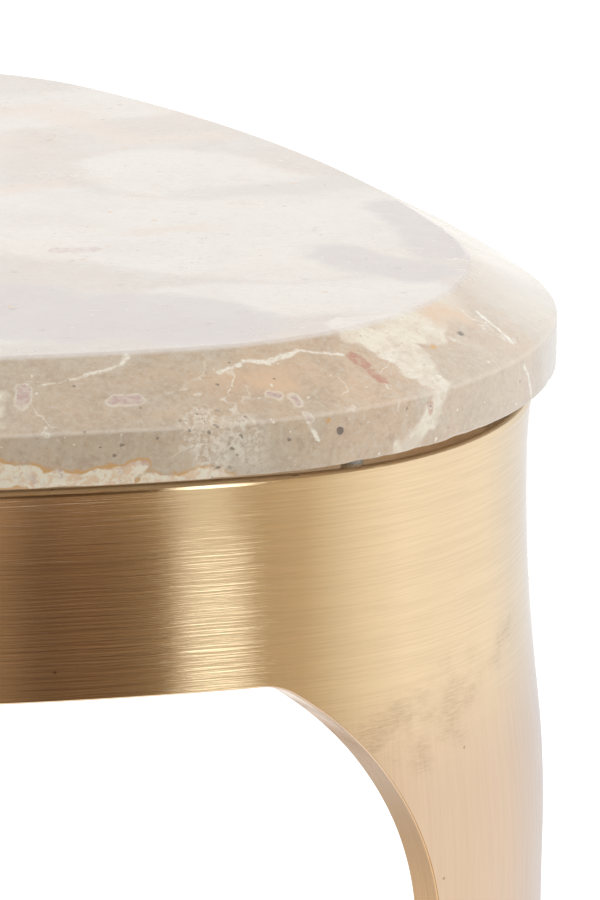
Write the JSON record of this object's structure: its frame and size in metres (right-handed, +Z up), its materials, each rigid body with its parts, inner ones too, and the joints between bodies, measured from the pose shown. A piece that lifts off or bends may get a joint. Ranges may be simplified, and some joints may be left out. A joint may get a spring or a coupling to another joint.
{
  "type": "side table",
  "caption": "Side table with a bevelled stone top in a rounded-triangle outline, on a brushed cast-brass base with an arched apron and slender tapering legs.",
  "frame": {"origin": "middle of the table's box, on the floor", "axes": "+Z up, -Y towards the front, which is one flat side of the triangle; +Y points at the back leg"},
  "size_m": [0.4394, 0.4276, 0.52],
  "materials": {
    "stone": "polished breccia marble",
    "brass": "brushed, aged",
    "bracket_steel": "zinc plated",
    "screw_steel": "zinc plated",
    "insert_brass": "turned",
    "clear_pad": "clear, soft",
    "glide_nylon": "moulded"
  },
  "bodies": {
    "root": {"stone_top": "stone", "leg_casting_front_right": "brass", "leg_casting_back": "brass", "leg_casting_front_left": "brass", "splice_bracket_front": "bracket_steel", "splice_bracket_right": "bracket_steel", "splice_bracket_left": "bracket_steel", "splice_screws_front": "screw_steel", "splice_screws_right": "screw_steel", "splice_screws_left": "screw_steel", "top_screws": "screw_steel", "top_washers": "screw_steel", "stone_inserts": "insert_brass", "bumper_pads": "clear_pad", "foot_glide_front_right": "glide_nylon", "foot_glide_back": "glide_nylon", "foot_glide_front_left": "glide_nylon", "glide_screws_front_right": "screw_steel", "glide_screws_back": "screw_steel", "glide_screws_front_left": "screw_steel"}
  },
  "joints": []
}
